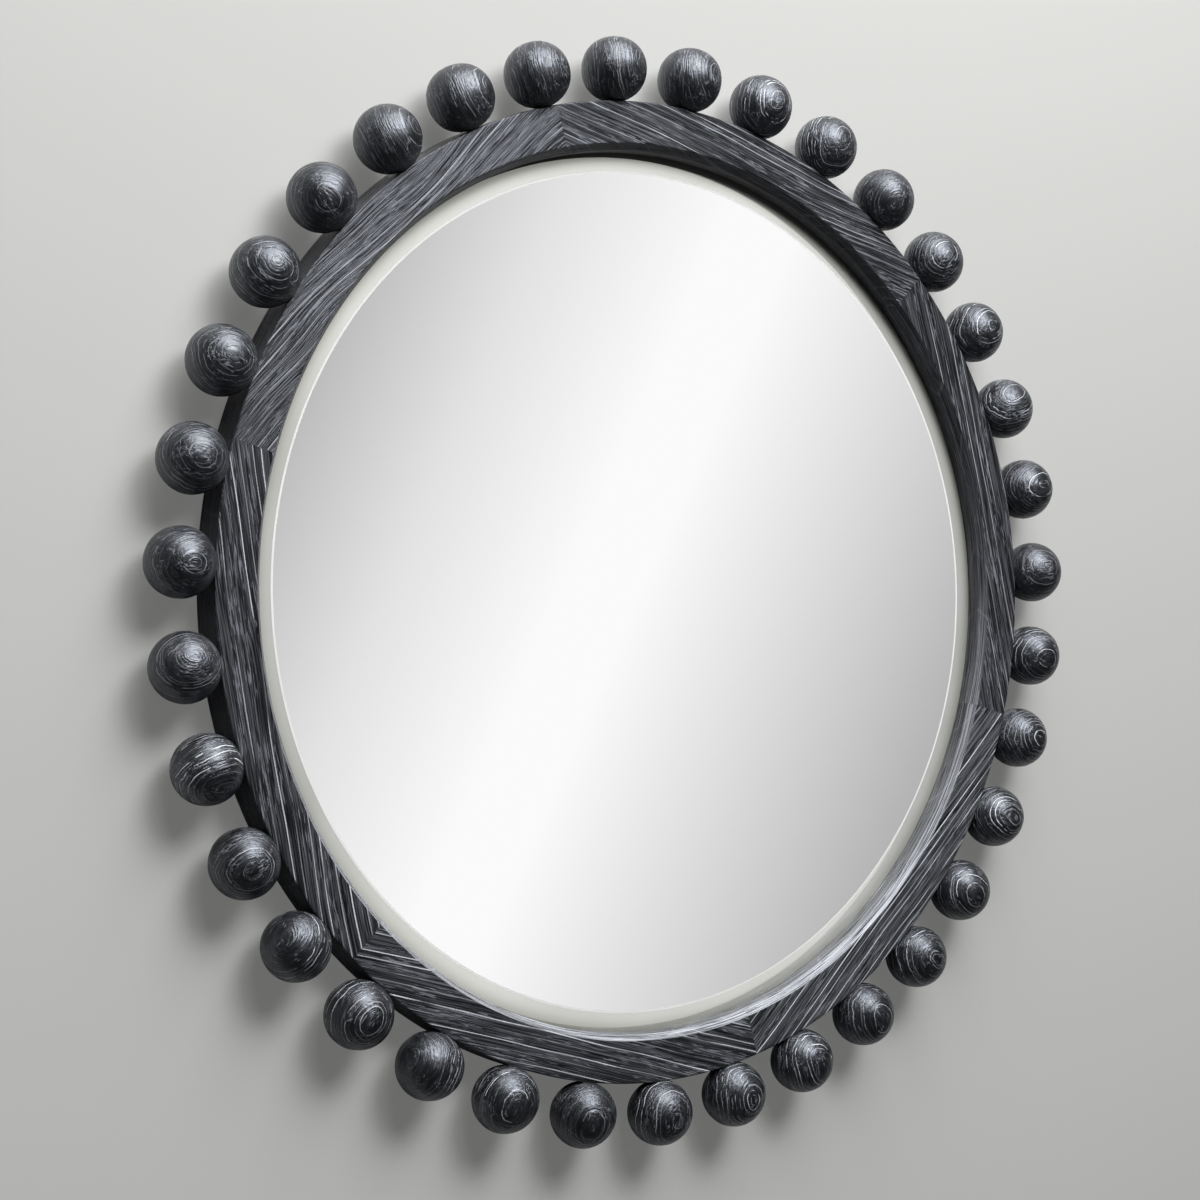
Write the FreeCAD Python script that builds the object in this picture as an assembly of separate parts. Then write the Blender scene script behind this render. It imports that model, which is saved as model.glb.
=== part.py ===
import FreeCAD, Part
import math
import os

# Round wall mirror: a wooden ring glued up from segments, turned wooden balls doweled round its
# edge, a bevelled mirror in a rebate, a backing board held by clips, and two ring hangers.
# X points right seen from the front, Z up and Y from the front to the wall, which is y = 0.
# Angles run clockwise from the top, seen from the front, in degrees. Lengths are in millimetres.

# Balls
ball_count = 35
ball_diameter = 63.0
ball_seat_depth = 1.0
ball_setback = 6.0
first_ball_angle = -3.7

# Dowels that hold the balls
dowel_diameter = 6.0
dowel_length = 30.0
dowel_chamfer = 0.8

# Wooden ring
segment_count = 6
first_joint_angle = 47.4
sight_radius = 425.0
lip_chamfer_width = 6.0
lip_chamfer_depth = 8.5
face_width = 40.5
ring_thickness = 37.5
rebate_width = 9.0
rebate_depth = 14.2
edge_round = 1.5

# Loose tenons across the joints of the ring
tenon_thickness = 6.0
tenon_width = 26.0
tenon_length = 24.0
tenon_setback = 17.0

# Clearance of every glued or screwed fit: on the radius, and at the blind end of its hole
fit_gap = 0.05
blind_end_gap = 0.5

# Mirror glass
glass_thickness = 5.0
glass_play = 2.0
bevel_width = 25.0
bevel_drop = 2.0

# Backing board
board_thickness = 4.0

# Clips that hold the board, each with one screw
clip_count = 8
first_clip_angle = 0.0
clip_width = 16.0
clip_metal = 1.5
clip_bend_radius = 0.6
clip_foot_length = 12.0
clip_tab_length = 20.0
clip_wall_gap = 0.8

# Pan-head wood screws, for clips and hangers alike
screw_diameter = 3.5
screw_length = 14.0
screw_head_diameter = 7.0
screw_head_height = 2.2
screw_head_round = 0.8
screw_slot_length = 4.2
screw_slot_width = 0.9
screw_slot_depth = 1.1

# Hangers: a strap with a rolled knuckle, and a ring of wire that swings in it
hanger_angle = 60.0
strap_width = 16.0
strap_metal = 1.5
strap_first_hole = 10.0
strap_hole_pitch = 18.0
ring_wire_diameter = 3.5
ring_corner_radius = 4.0
ring_end_play = 1.0
knuckle_gap = 0.05

# Rubber bumpers between the ring and the wall
bumper_angles = (25.0, 155.0, 205.0, 335.0)
bumper_height = 7.0
bumper_diameter = 16.0
bumper_tip_diameter = 13.0
bumper_edge_round = 1.0

# Length by which every cutting tool runs past the face that it cuts
overrun = 1.0

# Places that follow from the sizes
ring_back_y = -bumper_height
ring_front_y = ring_back_y - ring_thickness
shoulder_y = ring_back_y - rebate_depth
face_inner_radius = sight_radius + lip_chamfer_width
ring_outer_radius = face_inner_radius + face_width
rebate_radius = sight_radius + rebate_width
ball_y = ring_front_y + ball_setback
ball_radius = ball_diameter / 2
ball_circle_radius = ring_outer_radius + ball_radius - ball_seat_depth
segment_angle = 360.0 / segment_count
ball_pitch = 360.0 / ball_count
clip_pitch = 360.0 / clip_count
band_middle_radius = (rebate_radius + ring_outer_radius) / 2

glass_radius = rebate_radius - glass_play
bevel_ridge_radius = glass_radius - bevel_width
bevel_drop_at_lip = bevel_drop * max(sight_radius - bevel_ridge_radius, 0) / bevel_width
glass_front_y = shoulder_y - bevel_drop_at_lip
glass_back_y = glass_front_y + glass_thickness
board_back_y = glass_back_y + board_thickness

clip_leg_radius = rebate_radius - clip_wall_gap
clip_screw_radius = rebate_radius + clip_tab_length / 2
strap_length = strap_first_hole + strap_hole_pitch + strap_width / 2
ring_half_width = strap_width / 2 + ring_end_play + ring_corner_radius
knuckle_bore_radius = ring_wire_diameter / 2 + knuckle_gap
knuckle_radius = knuckle_bore_radius + strap_metal
knuckle_y = ring_back_y + knuckle_radius

origin = FreeCAD.Vector(0, 0, 0)
x_axis = FreeCAD.Vector(1, 0, 0)
y_axis = FreeCAD.Vector(0, 1, 0)
z_axis = FreeCAD.Vector(0, 0, 1)


def turned(shape, angle):
    # A piece made at the top of the ring, moved round the ring to its angle.
    copy = shape.copy()
    copy.rotate(origin, y_axis, angle)
    return copy


def moved(shape, x, y, z):
    copy = shape.copy()
    copy.translate(FreeCAD.Vector(x, y, z))
    return copy


def ball_angles():
    return [first_ball_angle + ball_pitch * i for i in range(ball_count)]


def joint_angles():
    return [first_joint_angle + segment_angle * i for i in range(segment_count)]


def clip_angles():
    return [first_clip_angle + clip_pitch * i for i in range(clip_count)]


def section_face(edges):
    return Part.Face(Part.Wire(edges))


def section_point(radius, y):
    return FreeCAD.Vector(0, y, radius)


def rounded_corner(radius, y, inward):
    # Quarter arc on the ring's outer edge; inward is the sense of Y into the wood.
    bulge = edge_round * (1 - math.sqrt(0.5))
    on_end_face = section_point(radius - edge_round, y)
    middle = section_point(radius - bulge, y + inward * bulge)
    on_rim = section_point(radius, y + inward * edge_round)
    return on_end_face, middle, on_rim


def ring_section():
    # Cross-section of the ring: front face, lip with its chamfer, rebate and rounded rim.
    front_start, front_middle, front_end = rounded_corner(ring_outer_radius, ring_front_y, 1)
    back_start, back_middle, back_end = rounded_corner(ring_outer_radius, ring_back_y, -1)
    corners = [
        back_start,
        section_point(rebate_radius, ring_back_y),
        section_point(rebate_radius, shoulder_y),
        section_point(sight_radius, shoulder_y),
        section_point(sight_radius, ring_front_y + lip_chamfer_depth),
        section_point(face_inner_radius, ring_front_y),
        front_start,
    ]
    edges = [Part.makeLine(a, b) for a, b in zip(corners, corners[1:])]
    edges.append(Part.Arc(front_start, front_middle, front_end).toShape())
    edges.append(Part.makeLine(front_end, back_end))
    edges.append(Part.Arc(back_end, back_middle, back_start).toShape())
    return section_face(edges)


def tenon(gap, end_gap):
    # Flat tenon with round edges, across a joint at the top of the ring.
    half_length = tenon_length / 2 + end_gap
    half_thickness = tenon_thickness / 2 + gap
    flat_width = tenon_width - tenon_thickness
    low = band_middle_radius - flat_width / 2
    high = band_middle_radius + flat_width / 2
    y = ring_front_y + tenon_setback
    top = section_point(high + half_thickness, y)
    bottom = section_point(low - half_thickness, y)
    front_low = section_point(low, y - half_thickness)
    front_high = section_point(high, y - half_thickness)
    back_low = section_point(low, y + half_thickness)
    back_high = section_point(high, y + half_thickness)
    face = section_face([
        Part.makeLine(front_low, front_high),
        Part.Arc(front_high, top, back_high).toShape(),
        Part.makeLine(back_high, back_low),
        Part.Arc(back_low, bottom, front_low).toShape(),
    ])
    return moved(face.extrude(x_axis * (2 * half_length)), -half_length, 0, 0)


def dowel():
    # Chamfered dowel, half in the ring and half in the ball, at the top of the ring.
    low = ring_outer_radius - dowel_length / 2
    radius = dowel_diameter / 2
    pin = Part.makeCylinder(radius, dowel_length, section_point(low, ball_y), z_axis)
    ends = [edge for edge in pin.Edges if edge.Closed]
    return pin.makeChamfer(dowel_chamfer, ends)


def dowel_hole():
    half_length = dowel_length / 2 + blind_end_gap
    start = section_point(ring_outer_radius - half_length, ball_y)
    return Part.makeCylinder(dowel_diameter / 2 + fit_gap, 2 * half_length, start, z_axis)


def ball():
    # Turned ball at the top of the ring, with a flat that seats on the rim and a dowel hole.
    sphere = Part.makeSphere(ball_radius, section_point(ball_circle_radius, ball_y))
    below = Part.makeBox(ball_diameter, ball_diameter, ball_seat_depth + overrun)
    below_z = ring_outer_radius - ball_seat_depth - overrun
    below = moved(below, -ball_radius, ball_y - ball_radius, below_z)
    return sphere.cut(below).cut(dowel_hole())


def screw():
    # Pan-head screw along Y, with its seat at y = 0, its head towards +Y and a pointed tip.
    head = Part.makeCylinder(screw_head_diameter / 2, screw_head_height, origin, y_axis)
    crown = [edge for edge in head.Edges if edge.Closed and edge.CenterOfMass.y > screw_head_height / 2]
    head = head.makeFillet(screw_head_round, crown)
    slot_floor = screw_head_height - screw_slot_depth
    slot = Part.makeBox(screw_slot_length, screw_slot_depth + overrun, screw_slot_width)
    slot = moved(slot, -screw_slot_length / 2, slot_floor, -screw_slot_width / 2)
    for quarter_turn in (0, 90):
        head = head.cut(turned(slot, quarter_turn))
    straight = screw_length - screw_diameter
    shank = Part.makeCylinder(screw_diameter / 2, straight, origin, -y_axis)
    tip = Part.makeCone(screw_diameter / 2, 0, screw_diameter, -y_axis * straight, -y_axis)
    return head.fuse([shank, tip]).removeSplitter()


def screw_hole():
    radius = screw_diameter / 2 + fit_gap
    depth = screw_length + blind_end_gap
    return Part.makeCylinder(radius, depth + overrun, y_axis * overrun, -y_axis)


def edges_through(shape, points):
    # Edges whose middle is at one of the points: those that run across a strip at its bends.
    return [edge for edge in shape.Edges for point in points if edge.CenterOfMass.isEqual(point, fit_gap)]


def clip():
    # Bent steel clip at the top of the ring: a foot on the board, a step and a screwed tab.
    foot_end = clip_leg_radius - clip_foot_length
    tab_end = rebate_radius + clip_tab_length
    leg_inner = clip_leg_radius - clip_metal
    corners = [
        section_point(foot_end, board_back_y),
        section_point(clip_leg_radius, board_back_y),
        section_point(clip_leg_radius, ring_back_y),
        section_point(tab_end, ring_back_y),
        section_point(tab_end, ring_back_y + clip_metal),
        section_point(leg_inner, ring_back_y + clip_metal),
        section_point(leg_inner, board_back_y + clip_metal),
        section_point(foot_end, board_back_y + clip_metal),
    ]
    edges = [Part.makeLine(a, b) for a, b in zip(corners, corners[1:] + corners[:1])]
    strip = section_face(edges).extrude(x_axis * clip_width)
    strip = moved(strip, -clip_width / 2, 0, 0)
    inside = [corners[2], corners[6]]
    outside = [corners[1], corners[5]]
    strip = strip.makeFillet(clip_bend_radius, edges_through(strip, inside))
    strip = strip.makeFillet(clip_bend_radius + clip_metal, edges_through(strip, outside))
    return strip.cut(moved(screw_hole(), 0, ring_back_y + clip_metal, clip_screw_radius))


def strap_hole_places(side):
    # Distances of the strap's holes from the knuckle, along the ring and away from its top.
    return [side * (strap_first_hole + strap_hole_pitch * i) for i in range(2)]


def hanger_strap(side):
    # Strap at the top of the ring, before it is turned to its angle; side is 1 on the right.
    half_width = strap_width / 2
    straight = strap_length - half_width
    plate = Part.makeBox(straight, strap_metal, strap_width)
    plate = moved(plate, min(0, side * straight), ring_back_y, band_middle_radius - half_width)
    end_centre = FreeCAD.Vector(side * straight, ring_back_y, band_middle_radius)
    round_end = Part.makeCylinder(half_width, strap_metal, end_centre, y_axis)
    knuckle_start = section_point(band_middle_radius - half_width, knuckle_y)
    knuckle = Part.makeCylinder(knuckle_radius, strap_width, knuckle_start, z_axis)
    bore_start = section_point(band_middle_radius - half_width - overrun, knuckle_y)
    bore = Part.makeCylinder(knuckle_bore_radius, strap_width + 2 * overrun, bore_start, z_axis)
    strap = plate.fuse([round_end, knuckle]).removeSplitter().cut(bore)
    for place in strap_hole_places(side):
        strap = strap.cut(moved(screw_hole(), place, ring_back_y + strap_metal, band_middle_radius))
    return strap


def hanger_ring(side):
    # Wire ring at the top of the ring frame: a straight bar in the knuckle, two corners and a bow.
    wire = ring_wire_diameter / 2
    bar_half = ring_half_width - ring_corner_radius
    bar_start = section_point(band_middle_radius - bar_half, knuckle_y)
    bar = Part.makeCylinder(wire, 2 * bar_half, bar_start, z_axis)
    pieces = []
    corner_x = -side * ring_corner_radius
    for end in (-1, 1):
        centre = FreeCAD.Vector(corner_x, knuckle_y, band_middle_radius + end * bar_half)
        corner = Part.makeTorus(ring_corner_radius, wire, origin, y_axis)
        quarter = Part.makeBox(2 * ring_corner_radius, 4 * wire, 2 * ring_corner_radius)
        quarter = moved(quarter, min(0, side * 2 * ring_corner_radius), -2 * wire,
                        min(0, end * 2 * ring_corner_radius))
        corner = corner.common(quarter)
        pieces.append(moved(corner, centre.x, centre.y, centre.z))
    bow = Part.makeTorus(ring_half_width, wire, origin, y_axis)
    half = Part.makeBox(2 * ring_half_width, 4 * wire, 4 * ring_half_width)
    half = moved(half, min(0, -side * 2 * ring_half_width), -2 * wire, -2 * ring_half_width)
    bow = bow.common(half)
    pieces.append(moved(bow, corner_x, knuckle_y, band_middle_radius))
    return bar.fuse(pieces).removeSplitter()


def hanger_screws(side):
    seat = ring_back_y + strap_metal
    return [moved(screw(), place, seat, band_middle_radius) for place in strap_hole_places(side)]


def hanger_screw_holes(side):
    seat = ring_back_y + strap_metal
    return [moved(screw_hole(), place, seat, band_middle_radius) for place in strap_hole_places(side)]


def bumper():
    # Tapered rubber bumper at the top of the ring, with its small end on the wall plane.
    base = section_point(band_middle_radius, ring_back_y)
    cone = Part.makeCone(bumper_diameter / 2, bumper_tip_diameter / 2, bumper_height, base, y_axis)
    tip = [edge for edge in cone.Edges if edge.Closed and edge.CenterOfMass.y > ring_back_y / 2]
    return cone.makeFillet(bumper_edge_round, tip)


def mirror_glass():
    corners = [
        section_point(0, glass_front_y),
        section_point(bevel_ridge_radius, glass_front_y),
        section_point(glass_radius, glass_front_y + bevel_drop),
        section_point(glass_radius, glass_back_y),
        section_point(0, glass_back_y),
    ]
    edges = [Part.makeLine(a, b) for a, b in zip(corners, corners[1:] + corners[:1])]
    return section_face(edges).revolve(origin, y_axis, 360)


def backing_board():
    return Part.makeCylinder(glass_radius, board_thickness, section_point(0, glass_back_y), y_axis)


def ring_cutters():
    # Everything that is bored or cut into the ring's segments.
    cutters = [turned(tenon(fit_gap, blind_end_gap), angle) for angle in joint_angles()]
    cutters += [turned(dowel_hole(), angle) for angle in ball_angles()]
    clip_hole = moved(screw_hole(), 0, ring_back_y + clip_metal, clip_screw_radius)
    cutters += [turned(clip_hole, angle) for angle in clip_angles()]
    for side in (1, -1):
        cutters += [turned(hole, side * hanger_angle) for hole in hanger_screw_holes(side)]
    return cutters


def ring_segments():
    section = ring_section()
    cutters = ring_cutters()
    whole = section.revolve(origin, y_axis, segment_angle)
    return [turned(whole, angle).cut(cutters) for angle in joint_angles()]


def group(shapes):
    return Part.makeCompound(shapes)


def build():
    nodes = {}
    for number, segment in enumerate(ring_segments(), 1):
        nodes[f"ring_segment_{number}"] = segment
    nodes["joint_tenons"] = group([turned(tenon(0, 0), angle) for angle in joint_angles()])
    one_ball = ball()
    for number, angle in enumerate(ball_angles(), 1):
        nodes[f"ball_{number:02d}"] = turned(one_ball, angle)
    nodes["ball_dowels"] = group([turned(dowel(), angle) for angle in ball_angles()])
    nodes["mirror_glass"] = mirror_glass()
    nodes["backing_board"] = backing_board()
    nodes["board_clips"] = group([turned(clip(), angle) for angle in clip_angles()])
    clip_screw = moved(screw(), 0, ring_back_y + clip_metal, clip_screw_radius)
    nodes["clip_screws"] = group([turned(clip_screw, angle) for angle in clip_angles()])
    strap_screws = []
    for name, side in (("right", 1), ("left", -1)):
        angle = side * hanger_angle
        nodes[f"hanger_strap_{name}"] = turned(hanger_strap(side), angle)
        nodes[f"hanger_ring_{name}"] = turned(hanger_ring(side), angle)
        strap_screws += [turned(one_screw, angle) for one_screw in hanger_screws(side)]
    nodes["hanger_screws"] = group(strap_screws)
    nodes["wall_bumpers"] = group([turned(bumper(), angle) for angle in bumper_angles])
    return nodes


os.makedirs("parts", exist_ok=True)
for node_name, node_shape in build().items():
    node_shape.exportStep(f"parts/{node_name}.step")
    solids = len(node_shape.Solids)
    print(f"{node_name}: {solids} solid(s), {node_shape.Volume:.1f} mm3, valid {node_shape.isValid()}")
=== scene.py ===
import bisect
import math
import random

import bpy
from mathutils import Matrix, Vector, noise


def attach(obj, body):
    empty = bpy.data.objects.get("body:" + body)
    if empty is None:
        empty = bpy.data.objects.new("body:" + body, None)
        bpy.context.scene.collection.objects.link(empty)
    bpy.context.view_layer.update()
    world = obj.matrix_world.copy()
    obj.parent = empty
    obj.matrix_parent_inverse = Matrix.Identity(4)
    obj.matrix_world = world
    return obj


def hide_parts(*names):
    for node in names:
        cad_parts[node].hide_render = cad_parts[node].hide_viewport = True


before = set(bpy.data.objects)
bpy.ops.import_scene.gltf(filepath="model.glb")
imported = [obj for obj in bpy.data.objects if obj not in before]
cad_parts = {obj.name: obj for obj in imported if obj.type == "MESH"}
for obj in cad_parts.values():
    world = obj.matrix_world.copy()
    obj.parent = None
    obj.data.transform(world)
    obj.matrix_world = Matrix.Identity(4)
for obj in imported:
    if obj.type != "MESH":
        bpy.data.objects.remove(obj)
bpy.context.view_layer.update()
bpy.ops.object.select_all(action="DESELECT")
mm = 0.001  # the scene is in metres, the settings are in millimetres
weldGap = 0.002  # points nearer than this, in mm, become one
print("frame loaded:", len(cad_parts), "nodes")


def toLinear(hexText):
    channels = [int(hexText[i:i + 2], 16) / 255 for i in (1, 3, 5)]
    return [c / 12.92 if c <= 0.04045 else ((c + 0.055) / 1.055) ** 2.4 for c in channels] + [1.0]


def addNode(tree, kind, settings=None, links=None):
    node = tree.nodes.new(kind)
    for key, value in (settings or {}).items():
        if key == "ramp":
            stops = node.color_ramp.elements
            while len(stops) < len(value):
                stops.new(0.5)
            for stop, (place, tone) in zip(stops, value):
                stop.position = place
                stop.color = toLinear(tone)
        elif isinstance(key, str) and hasattr(node, key):
            setattr(node, key, value)
        else:
            node.inputs[key].default_value = toLinear(value) if isinstance(value, str) else value
    for key, socket in (links or {}).items():
        tree.links.new(socket, node.inputs[key])
    return node


def newMaterial(name, settings):
    material = bpy.data.materials.new(name)
    material.use_nodes = True
    shader = material.node_tree.nodes["Principled BSDF"]
    for key, value in settings.items():
        shader.inputs[key].default_value = toLinear(value) if isinstance(value, str) else value
    return material, material.node_tree, shader


def takeUp(piece):
    bpy.ops.object.select_all(action="DESELECT")
    piece.select_set(True)
    bpy.context.view_layer.objects.active = piece


def openMesh(piece):
    takeUp(piece)
    bpy.ops.object.mode_set(mode="EDIT")
    bpy.ops.mesh.select_mode(type="VERT")
    bpy.ops.mesh.select_all(action="DESELECT")


def clearPicks(piece):
    # a selection by place is written in object mode
    bpy.ops.object.mode_set(mode="OBJECT")
    for part in (piece.data.polygons, piece.data.edges, piece.data.vertices):
        part.foreach_set("select", [False] * len(part))


def pickVerts(piece, test):
    clearPicks(piece)
    for vert in piece.data.vertices:
        vert.select = test(vert.co)
    bpy.ops.object.mode_set(mode="EDIT")


def pickEdges(piece, test):
    clearPicks(piece)
    points = piece.data.vertices
    for edge in piece.data.edges:
        a, b = (points[i].co for i in edge.vertices)
        edge.select = test(a, b)
        if edge.select:
            for i in edge.vertices:
                points[i].select = True
    bpy.ops.object.mode_set(mode="EDIT")
    bpy.ops.mesh.select_mode(type="EDGE")


def closeMesh():
    bpy.ops.mesh.select_mode(type="VERT")
    bpy.ops.mesh.select_all(action="SELECT")
    bpy.ops.mesh.remove_doubles(threshold=weldGap * mm)
    bpy.ops.mesh.normals_make_consistent(inside=False)
    bpy.ops.object.mode_set(mode="OBJECT")


def applyPlace(piece):
    takeUp(piece)
    bpy.ops.object.transform_apply(location=True, rotation=True, scale=True)


def copyPiece(source, name):
    piece = source.copy()
    piece.data = source.data.copy()
    piece.name = piece.data.name = name
    bpy.context.scene.collection.objects.link(piece)
    return piece


def smoothShade(piece, degrees):
    takeUp(piece)
    bpy.ops.object.shade_smooth_by_angle(angle=math.radians(degrees))


def settle(piece, body, node):
    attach(piece, body)
    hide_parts(node)


# Ebonised teak: stained black, wire-brushed so the soft wood is scoured out, limed and rubbed back.
# The eye gets charcoal with pale lime in the pores and growth lines, dark checks, and a satin sheen.
# The brushed depth is in mm, and the other reliefs are shares of it.
teak = {"sheenTint": "#e3e9f5", "markDetail": 1.5, "markRoughness": 0.55, "leastRubAndPaintedLight": 0.12, "limeRelief": 0.6,
        "bandRelief": -0.7, "brushedDepth": 0.35}


def woodMaterial(name, look):
    material, tree, shader = newMaterial(name, {"Specular IOR Level": look["specular"],
                                                "Specular Tint": teak["sheenTint"]})
    grain = addNode(tree, "ShaderNodeAttribute", {"attribute_name": look["grain"]}).outputs["Vector"]
    growth = addNode(tree, "ShaderNodeAttribute", {"attribute_name": "growth"}).outputs["Vector"]
    # the growth holds the layers counted, the mm to a layer and the strength of its line
    counted, thickness, strength = addNode(tree, "ShaderNodeSeparateXYZ", {}, {0: growth}).outputs
    masks = {}
    for key in ("streak", "band", "fleck", "check", "cloud", "fade"):
        length, thick, wide, low, high = look[key]
        scaled = addNode(tree, "ShaderNodeVectorMath",
                         {"operation": "MULTIPLY", 1: (1 / length, 1 / thick, 1 / wide)}, {0: grain})
        soft = addNode(tree, "ShaderNodeTexNoise",
                       {"Scale": 1.0, "Detail": teak["markDetail"], "Roughness": teak["markRoughness"]},
                       {"Vector": scaled.outputs[0]})
        masks[key] = addNode(tree, "ShaderNodeMapRange", {"interpolation_type": "SMOOTHSTEP", 1: low, 2: high},
                             {0: soft.outputs["Fac"]}).outputs[0]
    # growth lines: mm to the nearest one, crisp at its core and faded out in places
    near = addNode(tree, "ShaderNodeMath", {"operation": "PINGPONG", 1: 0.5}, {0: counted}).outputs[0]
    near = addNode(tree, "ShaderNodeMath", {"operation": "MULTIPLY"}, {0: near, 1: thickness}).outputs[0]
    line = addNode(tree, "ShaderNodeMapRange",
                   {"interpolation_type": "SMOOTHSTEP", 1: look["lineWidth"], 2: look["lineCore"]},
                   {0: near}).outputs[0]
    line = addNode(tree, "ShaderNodeMath", {"operation": "MULTIPLY"}, {0: line, 1: strength}).outputs[0]
    line = addNode(tree, "ShaderNodeMath", {"operation": "MULTIPLY"}, {0: line, 1: masks["fade"]}).outputs[0]
    # ridges that the brush leaves inside a layer
    ridge = addNode(tree, "ShaderNodeMath", {"operation": "PINGPONG", 1: 0.5 / look["ridges"]},
                    {0: counted}).outputs[0]
    ridge = addNode(tree, "ShaderNodeMath", {"operation": "MULTIPLY", 1: 2 * look["ridges"]}, {0: ridge}).outputs[0]
    ridge = addNode(tree, "ShaderNodeMath", {"operation": "MULTIPLY"}, {0: ridge, 1: masks["fade"]}).outputs[0]
    limed = addNode(tree, "ShaderNodeMath", {"operation": "MULTIPLY"},
                    {0: masks["fleck"], 1: masks["cloud"]}).outputs[0]
    patchy = addNode(tree, "ShaderNodeMapRange", {3: teak["leastRubAndPaintedLight"]}, {0: masks["streak"]}).outputs[0]
    # the arc's third part: the lip's rubbed tone with painted light, paler on the lower lip that faces up to the
    # lamps
    rubAndPaintedLight = addNode(tree, "ShaderNodeSeparateXYZ", {}, {0: grain}).outputs["Z"]  # 0 to 1 on the lip
    rubAndPaintedLightShare = addNode(tree, "ShaderNodeMath", {"operation": "MULTIPLY"}, {0: rubAndPaintedLight, 1: patchy}).outputs[0]
    tone = addNode(tree, "ShaderNodeMix", {"data_type": "RGBA", 6: look["dark"], 7: look["mid"]},
                   {0: masks["streak"]}).outputs[2]
    mixes = [(ridge, look["ridgeAmount"], look["mid"]), (masks["band"], look["bandAmount"], look["black"]),
             (limed, look["fleckAmount"], look["lime"]), (rubAndPaintedLightShare, look["rubAndPaintedLightAmount"], look["rubAndPaintedLight"]),
             (masks["check"], look["checkAmount"], look["black"]), (line, look["lineAmount"], look["line"])]
    for mask, amount, paint in mixes:
        share = addNode(tree, "ShaderNodeMath", {"operation": "MULTIPLY", 1: amount}, {0: mask}).outputs[0]
        tone = addNode(tree, "ShaderNodeMix", {"data_type": "RGBA", 7: paint}, {0: share, 6: tone}).outputs[2]
    tree.links.new(tone, shader.inputs["Base Color"])
    pale = addNode(tree, "ShaderNodeMath", {"operation": "MAXIMUM"}, {0: limed, 1: line}).outputs[0]
    rough = addNode(tree, "ShaderNodeMapRange", {3: look["satin"], 4: look["matt"]}, {0: pale}).outputs[0]
    tree.links.new(rough, shader.inputs["Roughness"])
    height = addNode(tree, "ShaderNodeMath", {"operation": "SUBTRACT"},
                     {0: masks["streak"], 1: masks["check"]}).outputs[0]
    reliefs = [(pale, teak["limeRelief"]), (masks["band"], teak["bandRelief"]), (ridge, look["ridgeRelief"])]
    for mask, relief in reliefs:
        height = addNode(tree, "ShaderNodeMath", {"operation": "MULTIPLY_ADD", 1: relief},
                         {0: mask, 2: height}).outputs[0]
    bump = addNode(tree, "ShaderNodeBump", {"Strength": look["bump"], "Distance": teak["brushedDepth"] * mm},
                   {"Height": height})
    tree.links.new(bump.outputs[0], shader.inputs["Normal"])
    return material


# Each mark: its length, thickness across the growth layers and width along them in mm, then the noise values
# where it starts and is full. Real pores are 0.3 mm wide, drawn wider so that they show in the render.
boardLook = {"grain": "grain", "streak": (60, 1.2, 8, 0.38, 0.62), "band": (160, 3.2, 60, 0.48, 0.64),
             "fleck": (16, 1.3, 2.0, 0.54, 0.61), "check": (40, 1.2, 6, 0.59, 0.63), "cloud": (70, 9, 20, 0.42, 0.60),
             "fade": (75, 6, 30, 0.32, 0.50), "lineWidth": 0.66, "lineCore": 0.28, "ridges": 3, "ridgeAmount": 0.25,
             "ridgeRelief": 0.4, "dark": "#0a0b0c", "mid": "#434448", "black": "#040405", "lime": "#7c7f87",
             "line": "#ccced5", "rubAndPaintedLight": "#c6c9d0", "bandAmount": 0.72, "fleckAmount": 0.55, "checkAmount": 0.92,
             "rubAndPaintedLightAmount": 0.0, "lineAmount": 1.0, "specular": 0.46, "satin": 0.36, "matt": 0.52, "bump": 0.6}
# the lip takes the rubbed tone, with painted light on its lower part
lipLook = dict(boardLook, grain="arc", streak=(120, 1.0, 8, 0.40, 0.60), rubAndPaintedLightAmount=0.66, bandAmount=0.45,
               fleckAmount=0.2, ridgeAmount=0.0, ridgeRelief=0.0)
turnedLook = {"grain": "grain", "streak": (26, 1.4, 7, 0.40, 0.62), "band": (60, 2.4, 26, 0.46, 0.64),
              "fleck": (9, 1.3, 1.5, 0.55, 0.61), "check": (14, 1.2, 3, 0.61, 0.65), "cloud": (26, 7, 9, 0.46, 0.64),
              "fade": (13, 5, 9, 0.36, 0.52), "lineWidth": 0.62, "lineCore": 0.25, "ridges": 2, "ridgeAmount": 0.5,
              "ridgeRelief": 1.0, "dark": "#060607", "mid": "#202124", "black": "#030304", "lime": "#7c7f86",
              "line": "#c6c9d0", "rubAndPaintedLight": "#c6c9d0", "bandAmount": 0.5, "fleckAmount": 0.6, "checkAmount": 0.85,
              "rubAndPaintedLightAmount": 0.0, "lineAmount": 1.0, "specular": 1.0, "satin": 0.38, "matt": 0.48, "bump": 0.42}
boardWood = woodMaterial("ebonisedTeakBoard", boardLook)
arcWood = woodMaterial("ebonisedTeakWorkedEdge", lipLook)
turnedWood = woodMaterial("ebonisedTeakTurned", turnedLook)
print("wood materials made")


def layerEdges(start, stop, gaps, dice):
    edges = [start]
    while edges[-1] < stop:
        edges.append(edges[-1] + dice.uniform(*gaps))
    return edges


def nearestEdge(value, edges):
    # the nearest line and its distance, then the layer's own share crossed, its number and its thickness
    at = min(max(bisect.bisect(edges, value), 1), len(edges) - 1)
    low, high = edges[at - 1], edges[at]
    share = min(max((value - low) / (high - low), 0), 1)
    line, gap = (at - 1, value - low) if share < 0.5 else (at, high - value)
    return line, gap, share, at - 1, high - low


def drift(u, v, w, size, shift):
    return noise.noise(Vector((u / size[0], v / size[1], w / size[2])) + shift)


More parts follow.
